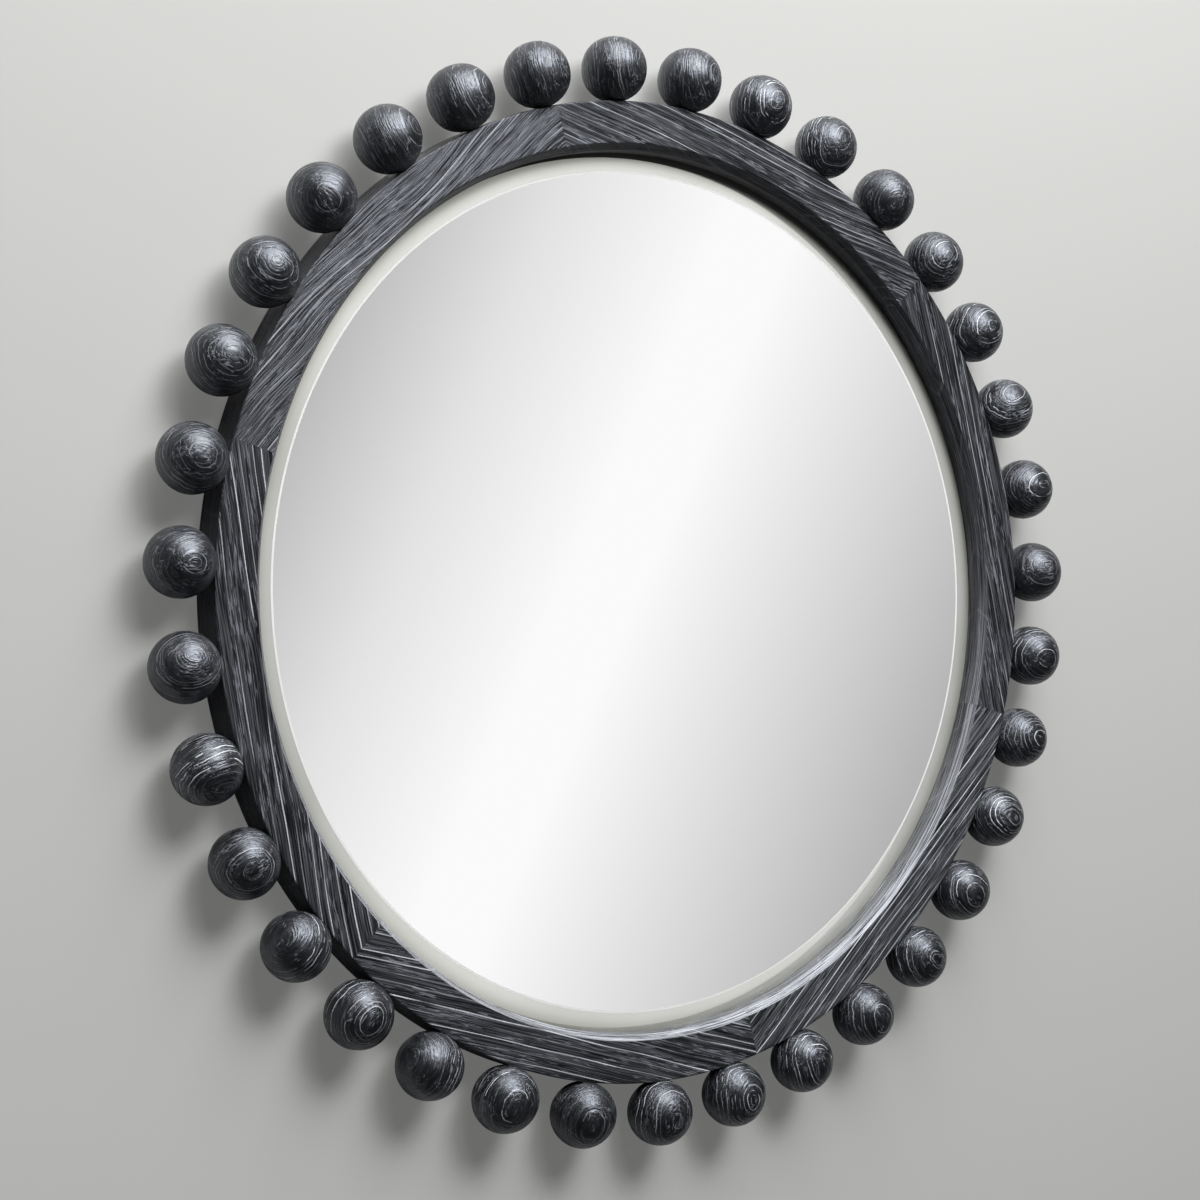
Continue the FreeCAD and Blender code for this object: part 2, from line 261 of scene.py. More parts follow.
def keepGrain(piece, **layers):
    for name, rows in layers.items():
        layer = piece.data.attributes.new(name, "FLOAT_VECTOR", "POINT")
        layer.data.foreach_set("vector", [c for row in rows for c in row])


def smoothStep(low, high, value):
    share = min(max((value - low) / (high - low), 0), 1)
    return share * share * (3 - 2 * share)


# The ring: one section, spun through a sixth of the circle, then copied and grained board by board.
# The slacks, in mm, are how far off a point may be and still count as part of a side.
ring = {"sightRadius": 425.0, "faceInnerRadius": 431.0, "outerRadius": 471.5, "rebateRadius": 434.0,
        "frontY": -44.5, "backY": -7.0, "chamferY": -36.0, "shoulderY": -21.2, "edgeRound": 1.5, "edgeSegments": 3,
        "lipRound": 0.6, "lipSegments": 2, "firstJoint": 47.4, "boards": 6, "spinSteps": 384, "shadeAngle": 40,
        "slack": 0.1, "fineSlack": 0.05, "mitreSlack": 0.01, "lipSlack": 0.3, "rimSlack": 0.4, "shortSide": 3.0}
ringSteps = {"face": 1.05, "lip": 1.6, "wall": 4.0, "rim": 1.3, "back": 4.0}  # mesh size in mm
# How the grain runs in every board: the growth lines' strengths and the layers' heights are drawn from these,
# the sizes are those of the layers' drift along, across and through the board, and the rest is relief in mm.
# The lip is painted paler the further down a point of it looks, painted light where it faces up to the lamps, and the
# shifts keep two boards from sharing their marks.
boardGrain = {"seed": 410, "layersBetween": (320, 520), "strengths": (0.15, 0.3, 0.5, 0.8, 1.0),
              "levels": (0.4, 1.0), "noiseShift": 50, "sweepSize": (240, 110, 90), "swellSize": (95, 45, 60),
              "rippleSize": (55, 16, 16), "sweep": 1.6, "swell": 0.5, "ripple": 0.9, "layerStep": 0.16,
              "lineGroove": 0.10, "grooveWidth": 0.8, "jointEase": 0.14, "jointEaseWidth": 0.8, "endKept": 0.2,
              "faceFall": 3, "leastRelief": 0.3, "leastLine": 0.1, "lowerLipPaintedLight": (-0.35, 0.95), "wallRubAndPaintedLight": 0.45,
              "alongShift": 370, "throughShift": 61, "arcShift": 520}
# for each board: gaps between growth lines and waviness in mm, lean of the layers through the thickness,
# turn of the grain in degrees and how strong its lines are
boards = [{"gaps": (8, 18), "wave": 4.0, "lean": 0.25, "turn": 0.0, "lines": 0.5},
          {"gaps": (4.5, 8), "wave": 2.5, "lean": -0.2, "turn": 0.0, "lines": 1.0},
          {"gaps": (6, 11), "wave": 3.5, "lean": 0.3, "turn": 0.0, "lines": 0.85},
          {"gaps": (7, 14), "wave": 5.0, "lean": 0.15, "turn": -4.0, "lines": 0.9},
          {"gaps": (6, 13), "wave": 12.0, "lean": -0.3, "turn": 0.0, "lines": 0.4},
          {"gaps": (4, 10), "wave": 4.5, "lean": 0.2, "turn": 0.0, "lines": 0.4}]


def makeBoardBlank():
    front, back, outer = ring["frontY"] * mm, ring["backY"] * mm, ring["outerRadius"] * mm
    shoulder, rebate, chamfer = ring["shoulderY"] * mm, ring["rebateRadius"] * mm, ring["chamferY"] * mm
    slack, fine = ring["slack"] * mm, ring["fineSlack"] * mm
    lip = ring["faceInnerRadius"] * mm + slack
    wide = ring["outerRadius"] - ring["sightRadius"]
    deep = ring["backY"] - ring["frontY"]
    place = (0, (ring["frontY"] + ring["backY"]) / 2 * mm, (ring["outerRadius"] + ring["sightRadius"]) / 2 * mm)
    bpy.ops.mesh.primitive_plane_add(size=1, location=place, rotation=(0, math.pi / 2, 0))
    blank = bpy.context.object
    blank.scale = (wide * mm, deep * mm, 1)
    applyPlace(blank)
    openMesh(blank)
    for point, normal in (((0, shoulder, 0), (0, 1, 0)), ((0, 0, rebate), (0, 0, 1))):
        bpy.ops.mesh.select_all(action="SELECT")
        bpy.ops.mesh.bisect(plane_co=point, plane_no=normal)
    pickVerts(blank, lambda co: co.z < rebate - slack and co.y > shoulder + slack)
    bpy.ops.mesh.delete(type="VERT")  # the rebate
    lipRise = (ring["faceInnerRadius"] - ring["sightRadius"]) * mm
    lipRun = (ring["chamferY"] - ring["frontY"]) * mm
    bpy.ops.mesh.select_all(action="SELECT")
    bpy.ops.mesh.bisect(plane_co=(0, front, ring["faceInnerRadius"] * mm),
                        plane_no=Vector((0, -lipRise, -lipRun)).normalized(), clear_outer=True)
    bpy.ops.mesh.select_all(action="SELECT")
    bpy.ops.mesh.select_mode(type="FACE")
    bpy.ops.mesh.dissolve_faces()
    bpy.ops.mesh.select_mode(type="VERT")
    spare = (Vector((0, shoulder, outer)), Vector((0, front, rebate)))  # left by the two cuts
    pickVerts(blank, lambda co: min((co - s).length for s in spare) < fine)
    bpy.ops.mesh.dissolve_verts()
    pickVerts(blank, lambda co: co.z > outer - slack)
    bpy.ops.mesh.bevel(offset=ring["edgeRound"] * mm, segments=ring["edgeSegments"], affect="VERTICES")
    pickVerts(blank, lambda co: co.z < lip and co.y < chamfer + slack)
    bpy.ops.mesh.bevel(offset=ring["lipRound"] * mm, segments=ring["lipSegments"], affect="VERTICES")
    bpy.ops.mesh.select_all(action="SELECT")
    bpy.ops.mesh.delete(type="ONLY_FACE")  # the outline is spun as a line
    sides = {"face": lambda a, b: max(a.y, b.y) < front + fine,
             "rim": lambda a, b: min(a.z, b.z) > outer - fine,
             "back": lambda a, b: min(a.y, b.y) > back - fine,
             "lip": lambda a, b: max(a.y, b.y) < chamfer + ring["lipSlack"] * mm and max(a.z, b.z) < lip,
             "wall": lambda a, b: max(a.z, b.z) < rebate + slack and min(a.y, b.y) > chamfer - slack}
    for side, test in sides.items():
        pickEdges(blank, lambda a, b: test(a, b) and (a - b).length > ring["shortSide"] * mm)
        bpy.ops.object.mode_set(mode="OBJECT")
        points = blank.data.vertices
        ends = [edge.vertices for edge in blank.data.edges if edge.select]
        longest = max((points[i].co - points[j].co).length for i, j in ends)
        bpy.ops.object.mode_set(mode="EDIT")
        cuts = round(longest / mm / ringSteps[side]) - 1
        if cuts > 0:
            bpy.ops.mesh.subdivide(number_cuts=cuts)
    bpy.ops.mesh.select_mode(type="VERT")
    bpy.ops.mesh.select_all(action="SELECT")
    bpy.ops.mesh.spin(steps=ring["spinSteps"], angle=math.tau / ring["boards"], center=(0, 0, 0),
                      axis=(0, -1, 0))
    mitre = ring["mitreSlack"] * mm
    for end in (0, 1):  # close the two mitred ends
        turn = end * math.tau / ring["boards"]
        across = Vector((math.cos(turn), 0, -math.sin(turn)))
        pickEdges(blank, lambda a, b: abs(a.dot(across)) < mitre and abs(b.dot(across)) < mitre)
        bpy.ops.mesh.edge_face_add()
    closeMesh()
    return blank


def grainBoard(piece, number, middle):
    look, dice = boards[number], random.Random(boardGrain["seed"] + number)
    edges = layerEdges(*boardGrain["layersBetween"], look["gaps"], dice)
    strengths = [dice.choice(boardGrain["strengths"]) * look["lines"] for _ in edges]
    levels = [dice.uniform(*boardGrain["levels"]) for _ in edges]
    shift = Vector([dice.uniform(0, boardGrain["noiseShift"]) for _ in range(3)])
    along = Vector((math.cos(middle), 0, -math.sin(middle)))
    outward = Vector((math.sin(middle), 0, math.cos(middle)))
    turn, halfTurn = math.radians(look["turn"]), math.pi / ring["boards"]
    grainRows, growthRows, arcRows, moved = [], [], [], []
    for vert in piece.data.vertices:
        x, z, w = vert.co.dot(along) / mm, vert.co.dot(outward) / mm, vert.co.y / mm
        u, v = x * math.cos(turn) + z * math.sin(turn), z * math.cos(turn) - x * math.sin(turn)
        sweep = boardGrain["sweep"] * drift(u, v, w, boardGrain["sweepSize"], shift)
        swell = boardGrain["swell"] * drift(u, v, w, boardGrain["swellSize"], shift)
        ripple = boardGrain["ripple"] * drift(u, v, w, boardGrain["rippleSize"], shift)
        across = v + look["lean"] * w + look["wave"] * (sweep + swell) + ripple
        at, gap, share, layer, thick = nearestEdge(across, edges)
        height = boardGrain["layerStep"] * (share - 0.5) * levels[at]
        height -= boardGrain["lineGroove"] * strengths[at] * math.exp(-(gap / boardGrain["grooveWidth"]) ** 2)
        angle, reach = math.atan2(x, z), math.hypot(x, z)
        joint = (halfTurn - abs(angle)) * reach  # mm to the nearer end
        ease = math.exp(-(joint / boardGrain["jointEaseWidth"]) ** 2)
        # 1 on the face, little on the lip, none on the rim and back
        facing = max(0.0, -vert.normal.y) ** boardGrain["faceFall"]
        rise = height * max(boardGrain["leastRelief"], facing) * (1 - ease) - boardGrain["jointEase"] * ease
        # the lip is painted paler where it looks up, a rubbed tone with painted light from above, the wall below it
        # less
        lowerLipPaintedLight = smoothStep(*boardGrain["lowerLipPaintedLight"], -vert.co.z / mm / reach)
        rubAndPaintedLight = lowerLipPaintedLight * (1 if w < ring["chamferY"] - ring["lipSlack"] else boardGrain["wallRubAndPaintedLight"])
        rubAndPaintedLight *= 1 if reach < ring["rebateRadius"] else 0
        grainRows.append((u + boardGrain["alongShift"] * number, across, w + boardGrain["throughShift"] * number))
        growthRows.append((layer + share, thick, strengths[at] * max(boardGrain["leastLine"], facing)))
        arcRows.append((angle * ring["sightRadius"] + boardGrain["arcShift"] * number,
                        ring["faceInnerRadius"] - reach + w, rubAndPaintedLight))
        moved.append(vert.co + vert.normal * rise * mm if joint > boardGrain["endKept"] else vert.co.copy())
    for vert, place in zip(piece.data.vertices, moved):
        vert.co = place
    keepGrain(piece, grain=grainRows, growth=growthRows, arc=arcRows)
    piece.data.materials.append(boardWood)
    piece.data.materials.append(arcWood)
    # the lip, the wall below it and the rim are worked along the arc
    lipReach = (ring["faceInnerRadius"] + ring["slack"]) * mm
    lipBack = (ring["shoulderY"] + ring["lipSlack"]) * mm
    rimReach = (ring["outerRadius"] - ring["rimSlack"]) * mm
    for face in piece.data.polygons:
        corners = [piece.data.vertices[i].co for i in face.vertices]
        reaches = [math.hypot(co.x, co.z) for co in corners]
        inside = max(reaches) < lipReach and max(co.y for co in corners) < lipBack
        face.material_index = 1 if len(corners) == 4 and (inside or min(reaches) > rimReach) else 0


blank = makeBoardBlank()
print("board blank:", len(blank.data.vertices), "points")
for number in range(ring["boards"]):
    piece = copyPiece(blank, "board_%d" % (number + 1))
    start = math.radians(ring["firstJoint"]) + number * math.tau / ring["boards"]
    piece.rotation_euler = (0, start, 0)
    applyPlace(piece)
    grainBoard(piece, number, start + math.pi / ring["boards"])
    smoothShade(piece, ring["shadeAngle"])
    settle(piece, "mirror", "ring_segment_%d" % (number + 1))
bpy.data.objects.remove(blank)
print("ring boards made")

# The camera, at the photograph's place
view = {"place": (-1.4323, -2.0066, -0.0082), "right": (0.82116, -0.57001, -0.02795),
        "up": (0.02271, -0.01629, 0.99961), "lens": 75.59, "sensor": 36.0}
right, up = Vector(view["right"]).normalized(), Vector(view["up"])
up = (up - right * up.dot(right)).normalized()
backward = right.cross(up)
bpy.ops.object.camera_add(location=view["place"])
camera = bpy.context.object
camera.matrix_world = Matrix.Translation(view["place"]) @ Matrix((right, up, backward)).transposed().to_4x4()
camera.data.lens, camera.data.sensor_width = view["lens"], view["sensor"]
bpy.context.scene.camera = camera
print("camera placed")

# The balls: one ball, copied; each has its growth layers turned its own way, with an eye where they close.
ball = {"count": 35, "radius": 31.5, "circle": 502.0, "y": -38.5, "firstAngle": -3.7, "subdivisions": 6,
        "shadeAngle": 60, "outOfRound": 0.35, "outOfRoundSize": 34, "squareBalls": (0, 1, 33, 34), "square": 1.3,
        "squarePower": 4, "squareMean": 0.6, "rimClearance": 0.03}
# How the grain runs in every ball: the pith's distance, the gaps between layers and the reliefs are in mm, the
# strengths of the lines are drawn from these lists, and the named balls have their lines weakened by the share.
ballGrain = {"seed": 700, "pith": (52, 100), "innerEye": 0.5, "gaps": (1.8, 5.5),
             "strengths": (0.0, 0.1, 0.2, 0.35, 0.6, 1.0), "innerStrengths": (0.0, 0.15, 0.35),
             "eyeStrengths": (0.45, 0.6, 0.75), "plainEye": 0.39, "afterPlainEye": 0.3,
             "plainBalls": (0, 1, 4, 9, 32, 33, 34), "plain": 0.35, "openBalls": (21, 23, 25), "open": 0.12,
             "faintBalls": (19, 24, 26, 27, 28, 29, 30, 31), "faint": 0.55, "levels": (0.4, 1.0), "noiseShift": 50,
             "waver": 2.4, "waverSize": (26, 15, 15), "ripple": 0.3, "rippleSize": (9, 6, 6), "eyeCalm": 0.25,
             "flankWaver": 1.3, "layerStep": 0.36, "lineGroove": 0.2, "grooveWidth": 0.9, "alongShift": 90}
# where each ball's eye sits in the picture, right and up as shares of its radius, and the eye's own size
eyes = [(0.90, 0.10, 0.3), (0.85, 0.10, 0.3), (0.52, 0.07, 0.3), (0.52, 0.19, 0.40), (0.35, -0.20, 0.2),
        (0.35, 0.15, 0.5), (0.52, 0.19, 0.20), (0.30, 0.55, 0.45), (0.60, 0.15, 0.18), (0.35, 0.20, 0.3),
        (0.50, -0.07, 0.40), (0.72, 0.04, 0.34), (0.56, 0.07, 0.34), (0.45, -0.07, 0.42), (0.62, 0.04, 0.30),
        (0.60, -0.04, 0.48), (0.65, -0.04, 0.22), (0.63, 0.00, 0.32), (0.54, -0.10, 0.20), (0.32, -0.19, 0.48),
        (0.34, -0.07, 0.50), (-0.45, 0.30, 0.3), (0.48, -0.04, 0.40), (-0.25, 0.40, 0.35), (0.37, -0.10, 0.22),
        (0.60, -0.50, 0.3), (0.37, 0.30, 0.45), (0.56, 0.00, 0.38), (0.45, 0.07, 0.40), (0.48, 0.04, 0.30),
        (0.45, 0.15, 0.30), (0.30, -0.15, 0.45), (0.85, 0.35, 0.3), (0.85, 0.30, 0.3), (0.90, 0.20, 0.3)]


def lineStrengths(number, lines, dice):
    inner = [dice.choice(ballGrain["strengths"]) for _ in range(lines - 2)]
    strengths = [0.0] + inner + [0.0]
    strengths[1:3] = [dice.choice(ballGrain["innerStrengths"]), dice.choice(ballGrain["eyeStrengths"])]
    if eyes[number][2] > ballGrain["plainEye"]:  # a large eye has no ring inside it
        strengths[1], strengths[3] = 0.0, ballGrain["afterPlainEye"] * strengths[3]
    if number in ballGrain["plainBalls"]:  # cut on the quarter: dashes, hardly any lines
        strengths = [ballGrain["plain"] * strength for strength in strengths]
    if number in ballGrain["openBalls"]:  # the eye is worn away: lines on the far side of it only
        strengths[1:5] = [ballGrain["open"] * strength for strength in strengths[1:5]]
    if number in ballGrain["faintBalls"]:
        strengths = [ballGrain["faint"] * strength for strength in strengths]
    return strengths


def grainBall(piece, number, middle, outward):
    dice = random.Random(ballGrain["seed"] + number)
    shareRight, shareUp, eyeSize = eyes[number]
    facing = right * shareRight + up * shareUp
    facing += backward * math.sqrt(max(0.0, 1 - facing.length_squared))
    fibre = (outward - facing * outward.dot(facing)).normalized()
    side = fibre.cross(facing)
    flank = outward.cross(Vector((0, 1, 0)))
    radius, pith = ball["radius"], dice.uniform(*ballGrain["pith"])
    # how deep the first two layer lines lie below the eye's pole
    innerDrop, firstDrop = (1 - math.sqrt(1 - size ** 2) for size in (ballGrain["innerEye"] * eyeSize, eyeSize))
    depths = [0.0, innerDrop * radius, firstDrop * radius]
    while depths[-1] < 2 * radius:
        depths.append(depths[-1] + dice.uniform(*ballGrain["gaps"]))
    edges = [math.acos(max(-1, 1 - d / radius)) for d in depths if d < 2 * radius] + [math.pi]
    strengths = lineStrengths(number, len(edges), dice)
    levels = [dice.uniform(*ballGrain["levels"]) for _ in edges]
    shift = Vector([dice.uniform(0, ballGrain["noiseShift"]) for _ in range(3)])
    grainRows, growthRows, moved = [], [], []
    for vert in piece.data.vertices:
        out = vert.co.normalized()
        p = out * radius
        u, v, w = p.dot(fibre), p.dot(side), p.dot(facing)
        waver = ballGrain["waver"] * drift(u, v, w, ballGrain["waverSize"], shift)
        waver += ballGrain["ripple"] * ballGrain["waver"] * drift(u, v, w, ballGrain["rippleSize"], shift)
        depth = math.hypot(pith - w, v) - (pith - radius)
        calm = max(ballGrain["eyeCalm"], 1 - (w / radius) ** 2) ** 0.5  # the eye wavers less than the flanks
        depth += waver * calm * ballGrain["flankWaver"]
        angle = math.acos(min(1, max(-1, 1 - depth / radius)))
        at, gap, share, layer, thick = nearestEdge(angle, edges)
        height = ballGrain["layerStep"] * (share - 0.5) * levels[at]
        groove = math.exp(-(gap * radius / ballGrain["grooveWidth"]) ** 2)
        height -= ballGrain["lineGroove"] * strengths[at] * groove
        height += ball["outOfRound"] * noise.noise(p / ball["outOfRoundSize"] + shift)
        if number in ball["squareBalls"]:
            bulge = sum(abs(part) ** ball["squarePower"] for part in (out.dot(outward), out.y, out.dot(flank)))
            height += ball["square"] * (ball["squareMean"] - bulge)
        grainRows.append((u + ballGrain["alongShift"] * number, w + waver, v))
        growthRows.append((layer + share, thick * radius, strengths[at]))
        moved.append(middle + out * (radius + height) * mm)
    clear = (ring["outerRadius"] + ball["rimClearance"]) * mm
    for vert, place in zip(piece.data.vertices, moved):
        reach = math.hypot(place.x, place.z)  # the seat is hollowed to the ring's rim
        if reach < clear:
            place = Vector((place.x * clear / reach, place.y, place.z * clear / reach))
        vert.co = place
    keepGrain(piece, grain=grainRows, growth=growthRows)


bpy.ops.mesh.primitive_ico_sphere_add(subdivisions=ball["subdivisions"], radius=ball["radius"] * mm)
blank = bpy.context.object
for number in range(ball["count"]):
    turn = math.radians(ball["firstAngle"] + number * 360 / ball["count"])
    outward = Vector((math.sin(turn), 0, math.cos(turn)))
    middle = outward * ball["circle"] * mm + Vector((0, ball["y"] * mm, 0))
    piece = copyPiece(blank, "turned_ball_%02d" % (number + 1))
    grainBall(piece, number, middle, outward)
    piece.data.materials.append(turnedWood)
    smoothShade(piece, ball["shadeAngle"])
    settle(piece, "mirror", "ball_%02d" % (number + 1))
bpy.data.objects.remove(blank)
print("balls made")

# Plain stuffs with slight clouding: a colour ramp over noise, with roughness and a fine bump from the same noise.
# The spread is the size of the clouding and the relief its depth, both in mm.
clouding = {"detail": 4.0, "low": 0.3, "high": 0.7, "bump": 0.5}


def clouded(name, settings, tones, rough, spread, relief):
    material, tree, shader = newMaterial(name, settings)
    place = addNode(tree, "ShaderNodeTexCoord").outputs["Object"]
    cloud = addNode(tree, "ShaderNodeTexNoise", {"Scale": 1 / (spread * mm), "Detail": clouding["detail"]},
                    {"Vector": place}).outputs["Fac"]
    step = (clouding["high"] - clouding["low"]) / (len(tones) - 1)
    ramp = [(clouding["low"] + step * i, tone) for i, tone in enumerate(tones)]
    tone = addNode(tree, "ShaderNodeValToRGB", {"ramp": ramp}, {0: cloud})
    tree.links.new(tone.outputs[0], shader.inputs["Base Color"])
    worn = addNode(tree, "ShaderNodeMapRange", {1: clouding["low"], 2: clouding["high"], 3: rough[0], 4: rough[1]},
                   {0: cloud})
    tree.links.new(worn.outputs[0], shader.inputs["Roughness"])
    bump = addNode(tree, "ShaderNodeBump", {"Strength": clouding["bump"], "Distance": relief * mm}, {"Height": cloud})
    tree.links.new(bump.outputs[0], shader.inputs["Normal"])
    return material


# The glass: a disc with its flat, an arris line, a ground and polished bevel, and painted silvering behind.
glass = {"radius": 432.0, "ridgeRadius": 407.0, "arris": 2.0, "flatY": -22.64, "bevelY": -20.64, "backY": -17.64,
         "sides": 256, "shadeAngle": 3, "slack": 0.1, "ridgeSlack": 0.5, "rimSlack": 1.0, "backFacing": 0.9}
# the bevel's edge tone, laid between the two radii in mm, is painted shade where the glass runs under the frame
glassLook = {"silverTone": "#fafafa", "waveScale": 3.0, "waveDetail": 1.0, "waveBump": 0.02, "bevelMetal": 0.5,
             "bevelTones": [(0.3, "#d0d0ca"), (0.7, "#d8d8d4")], "hazeScale": 9.0, "hazeDetail": 2.0,
             "hazeBump": 0.05, "paintedEdgeShadeTone": "#9f9f96", "edgeFrom": 409.0, "edgeTo": 429.0, "bumpDepth": 0.4}


# Silvered float glass: a bright mirror with the faint roller wave that float glass keeps
def silverMaterial():
    material, tree, shader = newMaterial("silveredFloatGlass", {"Metallic": 1.0, "Roughness": 0.0,
                                                                "Base Color": glassLook["silverTone"]})
    place = addNode(tree, "ShaderNodeTexCoord").outputs["Object"]
    wave = addNode(tree, "ShaderNodeTexNoise",
                   {"Scale": glassLook["waveScale"], "Detail": glassLook["waveDetail"]}, {"Vector": place})
    bump = addNode(tree, "ShaderNodeBump",
                   {"Strength": glassLook["waveBump"], "Distance": glassLook["bumpDepth"] * mm},
                   {"Height": wave.outputs["Fac"]})
    tree.links.new(bump.outputs[0], shader.inputs["Normal"])
    return material


# Polished bevel over silvering: a softer, faintly hazy mirror, with painted shade: a little greener and darker
# towards the edge, where the glass runs under the frame
def bevelMaterial():
    material, tree, shader = newMaterial("polishedGlassBevel", {"Metallic": glassLook["bevelMetal"],
                                                                "Roughness": 0.0})
    place = addNode(tree, "ShaderNodeTexCoord").outputs["Object"]
    haze = addNode(tree, "ShaderNodeTexNoise",
                   {"Scale": glassLook["hazeScale"], "Detail": glassLook["hazeDetail"]},
                   {"Vector": place}).outputs["Fac"]
    tone = addNode(tree, "ShaderNodeValToRGB", {"ramp": glassLook["bevelTones"]}, {0: haze})
    flat = addNode(tree, "ShaderNodeVectorMath", {"operation": "MULTIPLY", 1: (1, 0, 1)}, {0: place})
    reach = addNode(tree, "ShaderNodeVectorMath", {"operation": "LENGTH"}, {0: flat.outputs[0]}).outputs["Value"]
    # painted shade: darker towards the outer edge of the bevel, under the frame
    edge = addNode(tree, "ShaderNodeMapRange", {"interpolation_type": "SMOOTHSTEP", 1: glassLook["edgeFrom"] * mm,
                                                2: glassLook["edgeTo"] * mm}, {0: reach}).outputs[0]
    tone = addNode(tree, "ShaderNodeMix", {"data_type": "RGBA", 7: glassLook["paintedEdgeShadeTone"]},
                   {0: edge, 6: tone.outputs[0]})
    tree.links.new(tone.outputs[2], shader.inputs["Base Color"])
    bump = addNode(tree, "ShaderNodeBump",
                   {"Strength": glassLook["hazeBump"], "Distance": glassLook["bumpDepth"] * mm}, {"Height": haze})
    tree.links.new(bump.outputs[0], shader.inputs["Normal"])
    return material


def makeGlass():
    middleY = (glass["flatY"] + glass["backY"]) / 2 * mm
    bpy.ops.mesh.primitive_cylinder_add(vertices=glass["sides"], radius=glass["radius"] * mm,
                                        depth=(glass["backY"] - glass["flatY"]) * mm,
                                        location=(0, middleY, 0), rotation=(math.pi / 2, 0, 0))
    pane = bpy.context.object
    pane.name = pane.data.name = "mirror_pane"
    applyPlace(pane)
    openMesh(pane)
    front = glass["flatY"] * mm + glass["slack"] * mm
    pickVerts(pane, lambda co: co.y < front)
    bpy.ops.mesh.select_mode(type="FACE")
    bpy.ops.mesh.inset(thickness=(glass["radius"] - glass["ridgeRadius"]) * mm)
    bpy.ops.mesh.inset(thickness=glass["arris"] * mm)
    rim = (glass["radius"] - glass["rimSlack"]) * mm
    bpy.ops.mesh.select_mode(type="VERT")
    pickVerts(pane, lambda co: co.y < front and math.hypot(co.x, co.z) > rim)
    bpy.ops.transform.translate(value=(0, (glass["bevelY"] - glass["flatY"]) * mm, 0))
    closeMesh()
    # faces by radius: the flat, the bevel and the edge, the arris, and by direction the back
    for material in (silver, bevel, arris, paint):
        pane.data.materials.append(material)
    ridge, slack = glass["ridgeRadius"] * mm, glass["ridgeSlack"] * mm
    for face in pane.data.polygons:
        reach = max(math.hypot(pane.data.vertices[i].co.x, pane.data.vertices[i].co.z) for i in face.vertices)
        if face.normal.y > glass["backFacing"]:
            face.material_index = 3
        elif reach < ridge - slack:
            face.material_index = 0
        else:
            face.material_index = 2 if reach < ridge + slack else 1
    return pane


# Polished arris: an even pale line between flat and bevel, a painted highlight along the ridge; backing paint:
# grey-green with brushed clouding
silver, bevel = silverMaterial(), bevelMaterial()
arris = clouded("polishedArrisPaintedHighlight", {"Specular IOR Level": 0.5}, ["#ced0ce", "#d4d6d4"], (0.34, 0.40), 60.0, 0.01)
paint = clouded("mirrorBackingPaint", {}, ["#646d69", "#757e7a"], (0.42, 0.58), 3.0, 0.10)
pane = makeGlass()
smoothShade(pane, glass["shadeAngle"])
settle(pane, "mirror", "mirror_glass")
print("glass made")

# Behind the glass: the pieces kept from the CAD get their materials.
# The fibre is scaled per metre, and the press screen's mesh and depth are in mm. The wave node's bands are
# 0.314 of its scale's inverse apart.
hardboard = {"fibre": (400, 1000, 130), "bundleDetail": 3.0, "bundleFrom": 0.52, "bundleTo": 0.72,
             "bundleShare": 0.55, "bundleTone": "#33241a", "screen": 2.0, "waveBands": 0.314, "waveBend": 0.4,
             "screenBump": 0.6, "screenDepth": 0.25}


# Hardboard: brown pressed fibre with dark bundles, its back printed with the weave of the press screen
def hardboardMaterial():
    material = clouded("hardboard", {"Specular IOR Level": 0.3}, ["#5a422e", "#6e5138", "#7e6046"], (0.62, 0.8),
                       9.0, 0.15)
    tree = material.node_tree
    shader = tree.nodes["Principled BSDF"]
    place = addNode(tree, "ShaderNodeTexCoord").outputs["Object"]
    fibre = addNode(tree, "ShaderNodeVectorMath", {"operation": "MULTIPLY", 1: hardboard["fibre"]},
                    {0: place}).outputs[0]
    bundle = addNode(tree, "ShaderNodeTexNoise", {"Scale": 1.0, "Detail": hardboard["bundleDetail"]},
                     {"Vector": fibre}).outputs["Fac"]
    dark = addNode(tree, "ShaderNodeMapRange", {1: hardboard["bundleFrom"], 2: hardboard["bundleTo"],
                                                4: hardboard["bundleShare"]}, {0: bundle}).outputs[0]
    tone = shader.inputs["Base Color"].links[0].from_socket
    tone = addNode(tree, "ShaderNodeMix", {"data_type": "RGBA", 7: hardboard["bundleTone"]},
                   {0: dark, 6: tone}).outputs[2]
    tree.links.new(tone, shader.inputs["Base Color"])
    weave = []
    for way in ("X", "Z"):
        wire = addNode(tree, "ShaderNodeTexWave",
                       {"bands_direction": way, "Scale": hardboard["waveBands"] / (hardboard["screen"] * mm),
                        "Distortion": hardboard["waveBend"]}, {"Vector": place})
        weave.append(wire.outputs["Fac"])
    mesh = addNode(tree, "ShaderNodeMath", {"operation": "MAXIMUM"}, {0: weave[0], 1: weave[1]}).outputs[0]
    under = shader.inputs["Normal"].links[0].from_socket
    bump = addNode(tree, "ShaderNodeBump",
                   {"Strength": hardboard["screenBump"], "Distance": hardboard["screenDepth"] * mm},
                   {"Height": mesh, "Normal": under})
    tree.links.new(bump.outputs[0], shader.inputs["Normal"])
    return material


